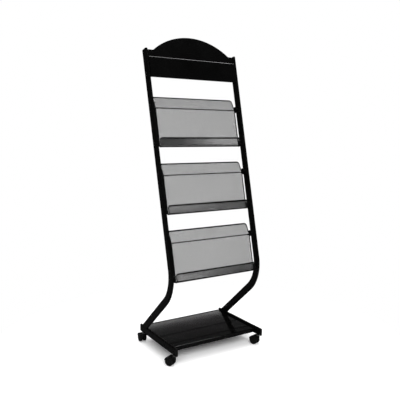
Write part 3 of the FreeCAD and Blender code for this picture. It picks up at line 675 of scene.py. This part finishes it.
def bolt_outline(length, head_radius):
    """Loops of a pan-head bolt: depth below the head's top, radius, whether it is a hexagon."""
    crown = head_radius - HEAD_ROUND
    loops = [
        (SOCKET_DEPTH, SOCKET_HALF_FLATS, True), (SOCKET_CHAMFER, SOCKET_HALF_FLATS, True),
        (0.0, SOCKET_HALF_FLATS + SOCKET_CHAMFER, True), (0.0, crown, False),
    ]
    for step in range(1, HEAD_ROUND_STEPS + 1):
        turn = math.radians(90 * step / HEAD_ROUND_STEPS)
        depth, radius = HEAD_ROUND * (1 - math.cos(turn)), crown + HEAD_ROUND * math.sin(turn)
        loops.append((depth, radius, False))
    return loops + [
        (HEAD_HEIGHT, head_radius, False), (HEAD_HEIGHT, SHANK_RADIUS, False),
        (length - TIP_CHAMFER, SHANK_RADIUS, False), (length, SHANK_RADIUS - TIP_CHAMFER, False),
    ]


def add_bolt(mesh, side, y, z, outer, inner, head_radius):
    loops = []
    for depth, radius, is_hexagon in bolt_outline(outer - inner, head_radius):
        loop = []
        for step in range(BOLT_SIDES):
            angle = math.tau * step / BOLT_SIDES
            reach = hexagon_reach(radius, angle) if is_hexagon else radius
            place = (side * (outer - depth), y + reach * math.cos(angle), z + reach * math.sin(angle))
            loop.append(mesh.verts.new(place))
        loops.append(loop)
    join_loops(mesh, loops)


def build_bolts(node):
    """The bolts of one CAD node, with hexagon sockets."""
    mesh = bmesh.new()
    for place in bolt_places(node):
        add_bolt(mesh, *place)
    piece = finish_piece(mesh, f"{node}_with_sockets", "black_fasteners", smooth=True)
    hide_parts(node)


# ---------------------------------------------------------------- welds

def add_bead(mesh, path, radius):
    """Weld bead along an open path: rippled, and thinner at both ends."""
    walked = [0.0]
    for here, there in zip(path, path[1:]):
        walked.append(walked[-1] + (there - here).length)
    turns = [math.tau * step / WELD_SIDES for step in range(WELD_SIDES)]
    side = None
    loops = []
    for index, point in enumerate(path):
        way = (path[min(index + 1, len(path) - 1)] - path[max(index - 1, 0)]).normalized()
        side = way.orthogonal() if side is None else side - way * way.dot(side)
        side.normalize()
        up = way.cross(side)
        from_end = min(walked[index], walked[-1] - walked[index])
        swell = math.sqrt(min(1.0, WELD_END + from_end / (2 * radius)))
        ripple = 1 + RIPPLE_HEIGHT * math.sin(math.tau * walked[index] / RIPPLE)
        size = radius * swell * ripple
        spokes = [side * math.cos(turn) + up * math.sin(turn) for turn in turns]
        loops.append([mesh.verts.new(point + spoke * size) for spoke in spokes])
    join_loops(mesh, loops)


def foot_section():
    """Part of the foot's oval that is welded, as (across, along), from end to end."""
    flat = TUBE_DEPTH / 2 - TUBE_HALF_WIDTH
    rounded = []
    for step in range(FOOT_ROUND_STEPS + 1):
        turn = math.radians(-FOOT_WELD_WRAP + FOOT_WELD_WRAP * step / FOOT_ROUND_STEPS)
        rounded.append((TUBE_HALF_WIDTH * math.cos(turn), -flat + TUBE_HALF_WIDTH * math.sin(turn)))
    straight = [
        (TUBE_HALF_WIDTH, -flat + 2 * flat * step / FOOT_FLAT_STEPS)
        for step in range(1, FOOT_FLAT_STEPS)
    ]
    return rounded + straight + [(across, -along) for across, along in reversed(rounded)]


def foot_weld_path(rail, outward):
    """Line where a post's foot meets its rail, from end to end round the outer side."""
    low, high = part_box(rail)
    middle = (low[0] + high[0]) / 2
    foot_y, top = high[1] - FOOT_INSET, high[2]
    cos, sin = math.cos(FOOT_SLOPE), math.sin(FOOT_SLOPE)
    path = []
    for across, along in foot_section():
        rise = math.sqrt(max(TUBE_HALF_WIDTH**2 - across**2, 0.0))
        height = top - TUBE_HALF_WIDTH + rise
        slide = (height - top - along * sin) / cos
        path.append(Vector((middle + outward * across, foot_y + along * cos - slide * sin, height)))
    return path


def build_foot_welds():
    mesh = bmesh.new()
    add_bead(mesh, foot_weld_path("left_rail", -1), FOOT_WELD)
    add_bead(mesh, foot_weld_path("right_rail", 1), FOOT_WELD)
    finish_piece(mesh, "foot_welds", "frame_paint", smooth=True)


def build_wire_welds(pocket):
    """Beads where the crossbar's ends meet the frame wire, and under both ends of the bottom rod."""
    mesh = bmesh.new()
    to_frame = CROSSBAR_RADIUS + 2 * WIRE_GAP + SHEET + FRAME_RADIUS
    first, last = ROD_WELD_ARC
    for side in (-1, 1):
        bar = node_middle(f"{pocket}_crossbar")
        bar.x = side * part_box(f"{pocket}_crossbar")[1][0]
        steps = [Vector((0, to_frame * step / BAR_WELD_STEPS, 0)) for step in range(BAR_WELD_STEPS + 1)]
        add_bead(mesh, [bar + lean(step) for step in steps], WIRE_WELD)
        rod = node_middle(f"{pocket}_bottom_rod")
        rod.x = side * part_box(f"{pocket}_bottom_rod")[1][0]
        path = []
        for step in range(ROD_WELD_STEPS + 1):
            turn = math.radians(first + (last - first) * step / ROD_WELD_STEPS)
            path.append(rod + lean(Vector((0, math.cos(turn), math.sin(turn))) * ROD_RADIUS))
        add_bead(mesh, path, WIRE_WELD)
    finish_piece(mesh, f"{pocket}_wire_welds", "wire_paint", smooth=True)


# ---------------------------------------------------------------- studio

def add_background(nodes, strength):
    node = nodes.add("ShaderNodeBackground")
    node.inputs["Color"].default_value = (1, 1, 1, 1)
    node.inputs["Strength"].default_value = strength
    return node.outputs[0]


def build_world():
    """Even light for the object, a dim room in its reflections, white for the camera."""
    world = bpy.data.worlds.new("studio")
    bpy.context.scene.world = world
    world.use_nodes = True
    nodes = Nodes(world.node_tree)
    world.node_tree.nodes.clear()
    path = nodes.add("ShaderNodeLightPath")
    even = add_background(nodes, EVEN_LIGHT)
    room = add_background(nodes, ROOM_MIRRORED)
    seen = add_background(nodes, 1.0)
    unseen = nodes.mix_shaders(path.outputs["Is Glossy Ray"], even, room)
    clear_way = nodes.math("MAXIMUM", path.outputs["Is Camera Ray"], path.outputs["Is Transmission Ray"])
    out = nodes.add("ShaderNodeOutputWorld")
    nodes.link(nodes.mix_shaders(clear_way, unseen, seen), out.inputs["Surface"])


def rectangle(across, along):
    """Corners of a rectangle from its two ranges."""
    (left, right), (low, high) = across, along
    return [(left, low), (right, low), (right, high), (left, high)]


def flat_board(name, corners, material):
    """One flat piece of the studio."""
    mesh = bmesh.new()
    mesh.faces.new([mesh.verts.new(corner) for corner in corners])
    data = bpy.data.meshes.new(name)
    mesh.to_mesh(data)
    mesh.free()
    board = bpy.data.objects.new(name, data)
    bpy.context.scene.collection.objects.link(board)
    data.materials.append(material)
    return board


def build_floor():
    """Wide white floor with the rack's shadow, which turns into the white background further off."""
    material, nodes, surface = bare_material("floor_white")
    path = nodes.add("ShaderNodeLightPath")
    seen = path.outputs["Is Camera Ray"]
    unseen = nodes.remap(path.outputs["Is Glossy Ray"], 0.0, 1.0, FLOOR_TONE, FLOOR_MIRRORED)
    diffuse = nodes.add("ShaderNodeBsdfDiffuse")
    tone = nodes.math("MAXIMUM", unseen, nodes.math("MULTIPLY", seen, FLOOR_SEEN))
    nodes.link(tone, diffuse.inputs["Color"])
    backdrop = nodes.add("ShaderNodeEmission")
    away = nodes.add("ShaderNodeVectorMath", operation="LENGTH")
    nodes.link(nodes.object_place(), away.inputs[0])
    far = nodes.remap(away.outputs["Value"], *FLOOR_FADE, 0.0, 1.0)
    is_backdrop = nodes.math("MULTIPLY", seen, far)
    nodes.link(nodes.mix_shaders(is_backdrop, diffuse.outputs[0], backdrop.outputs[0]), surface)
    size = (-FLOOR_HALF_SIZE, FLOOR_HALF_SIZE)
    flat_board("studio_floor", [(x, y, 0) for x, y in rectangle(size, size)], material)


def rear_board_glow(nodes):
    """White low down, then a grey that darkens slowly upwards and ends."""
    apart = nodes.add("ShaderNodeSeparateXYZ")
    nodes.link(nodes.object_place(), apart.inputs[0])
    height = apart.outputs["Z"]
    white = nodes.remap(height, *WHITE_FADE, WHITE_GLOW, 0.0)
    grey = nodes.remap(height, WHITE_FADE[1], GREY_FADE[0], *GREY_GLOW)
    grey = nodes.math("MULTIPLY", grey, nodes.remap(height, *GREY_FADE, 1.0, GREY_LEFT))
    return nodes.math("ADD", white, grey)


def mirrored_board(name, corners):
    """Build a board that only glossy surfaces mirror; give its nodes and its strength socket."""
    material, nodes, surface = bare_material(name)
    emission = nodes.add("ShaderNodeEmission")
    nodes.link(emission.outputs[0], surface)
    board = flat_board(name, corners, material)
    board.visible_camera = board.visible_diffuse = board.visible_shadow = False
    return nodes, emission.inputs["Strength"]


def build_boards():
    """Boards for the reflections: one low behind the tray, one high up for the header's fold."""
    upright = [(x, REAR_BOARD_Y, z) for x, z in rectangle(REAR_BOARD_X, REAR_BOARD_Z)]
    level = [(x, y, HIGH_BOARD_Z) for x, y in rectangle(HIGH_BOARD_X, HIGH_BOARD_Y)]
    nodes, strength = mirrored_board("rear_board", upright)
    nodes.set(strength, rear_board_glow(nodes))
    nodes, strength = mirrored_board("high_board", level)
    nodes.set(strength, HIGH_BOARD_GLOW)


def add_softbox(name, place, aim, size, power):
    light = bpy.data.lights.new(name, "AREA")
    light.shape = "RECTANGLE"
    light.size, light.size_y = size
    light.energy = power
    lamp = bpy.data.objects.new(name, light)
    lamp.location = place
    lamp.rotation_euler = (Vector(aim) - Vector(place)).to_track_quat("-Z", "Y").to_euler()
    bpy.context.scene.collection.objects.link(lamp)
    return lamp


def build_lights():
    add_softbox(
        "overhead_softbox", place=(0.3, 0.4, 3.4), aim=(0, 0, 0.4), size=(2.2, 2.2), power=62.0)
    front = add_softbox(
        "front_softbox", place=(-1.1, -2.5, 1.9), aim=(0, 0, 0), size=(3.0, 1.4), power=88.0)
    front.visible_glossy = False


def build_camera():
    data = bpy.data.cameras.new("view")
    data.lens = LENS
    data.sensor_width = SENSOR_WIDTH
    data.shift_y = VIEW_RISE
    camera = bpy.data.objects.new("view", data)
    camera.location = VIEW_PLACE
    camera.rotation_euler = (math.radians(90 - VIEW_DROP), 0, math.radians(-VIEW_TURN))
    bpy.context.scene.collection.objects.link(camera)
    bpy.context.scene.camera = camera


# ---------------------------------------------------------------- the whole scene

paint_nodes()
for pocket_name in POCKETS:
    build_pocket_mesh(pocket_name)
    build_wire_welds(pocket_name)
for bolt_node in BOLT_NODES:
    build_bolts(bolt_node)
build_foot_welds()
build_world()
build_floor()
build_boards()
build_lights()
build_camera()
bpy.context.scene.view_settings.view_transform = "Standard"
